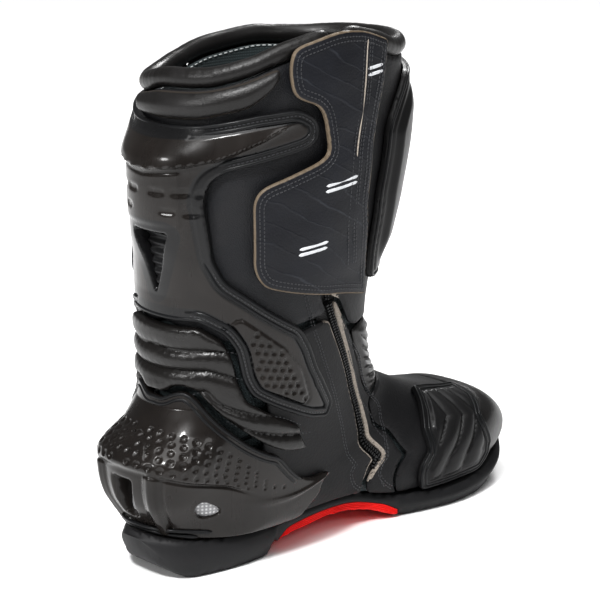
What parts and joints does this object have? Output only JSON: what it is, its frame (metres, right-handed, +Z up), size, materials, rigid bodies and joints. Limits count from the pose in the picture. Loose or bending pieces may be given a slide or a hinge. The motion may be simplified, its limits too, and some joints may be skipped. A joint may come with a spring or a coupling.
{
  "type": "motorcycle riding boot",
  "caption": "Left sport riding boot with a hinged shaft, moulded back guard and heel cup, medial zip under a hook-and-loop flap, and a rubber sole with a red arch insert.",
  "frame": {"origin": "middle of the boot's outer box in plan, at the bottom of the sole", "axes": "+X to the toe, +Z up, -Y to the medial (inner) side, where the zip and flap are"},
  "size_m": [0.3076, 0.1323, 0.3105],
  "materials": {
    "leather_matte": "fine pebbled grain, matte",
    "leather_smooth": "smooth padded leather, satin sheen",
    "leather_flap": "lightly creased pull-up leather with a raw tan edge",
    "shell_gloss": "moulded polyurethane, high gloss, smoky grey-black",
    "shell_satin": "moulded polyurethane, satin",
    "rubber_black": "matte vulcanised rubber",
    "rubber_red": "bright red moulded rubber",
    "lining_fabric": "dark grey-teal knitted lining",
    "zip_black": "black moulded zip teeth",
    "zip_tape": "black woven tape",
    "board": "pressed fibre board",
    "foam": "fabric-faced foam",
    "steel": "brushed steel",
    "mesh_silver": "silver-grey woven mesh"
  },
  "bodies": {
    "foot": {"outsole": "rubber_black", "arch_insert": "rubber_red", "shank": "steel", "insole_board": "board", "footbed": "foam", "foot_lining": "lining_fabric", "heel_counter": "board", "toe_puff": "board", "vamp": "leather_matte", "toe_cap": "leather_smooth", "quarter_medial": "leather_matte", "quarter_lateral": "leather_matte", "front_facing": "leather_matte", "instep_panel": "leather_smooth", "zip_lower_tape": "zip_tape", "zip_lower_teeth": "zip_black", "heel_cup": "shell_gloss", "heel_mesh_rear": "mesh_silver", "heel_mesh_medial": "mesh_silver", "heel_mesh_lateral": "mesh_silver", "ankle_bellows": "leather_smooth", "ankle_sleeve": "lining_fabric", "toe_shift_pad": "shell_satin", "toe_slider": "shell_satin", "slider_screw_rear": "steel", "slider_screw_front": "steel"},
    "shaft": {"calf_leather": "leather_matte", "shin_leather": "leather_matte", "shaft_lining": "lining_fabric", "zip_gusset": "lining_fabric", "collar_roll": "leather_smooth", "calf_pad": "leather_smooth", "back_guard": "shell_gloss", "guard_vent_insert": "zip_black", "shin_plate": "shell_satin", "loop_patch": "zip_tape", "zip_tape_rear": "zip_tape", "zip_teeth_rear": "zip_black", "zip_tape_front": "zip_tape", "zip_teeth_front": "zip_black"},
    "zip_slider": {"zip_slider": "steel"},
    "zip_pull": {"zip_pull": "steel"},
    "closure_flap": {"closure_flap": "leather_flap", "hook_patch": "zip_tape"}
  },
  "joints": [
    {"name": "ankle_flex", "type": "hinge", "parent": "foot", "child": "shaft", "pos_m": [-0.062, 0.00325, 0.105], "axis": [0, 1, 0], "range_deg": [-8, 15], "stiffness_Nm_per_rad": 20, "deforming": ["ankle_bellows", "ankle_sleeve", "quarter_medial", "quarter_lateral", "front_facing", "instep_panel", "zip_lower_tape", "zip_lower_teeth"]},
    {"name": "flap_hinge", "type": "hinge", "parent": "shaft", "child": "closure_flap", "pos_m": [0.001, -0.06375, 0.303], "axis": [0.0668, -0.0602, 0.9959], "range_deg": [0, 105]},
    {"name": "zip_slide", "type": "slide", "parent": "shaft", "child": "zip_slider", "axis": [-0.0065, 0.0528, -0.9986], "range_m": [0, 0.084]},
    {"name": "pull_swing", "type": "hinge", "parent": "zip_slider", "child": "zip_pull", "pos_m": [-0.04179, -0.06124, 0.28321], "axis": [-0.9996, 0.0273, 0.0079], "range_deg": [0, 105]}
  ],
  "couplings": [
    {"joint": "pull_swing", "follows": "flap_hinge", "ratio": 1}
  ]
}
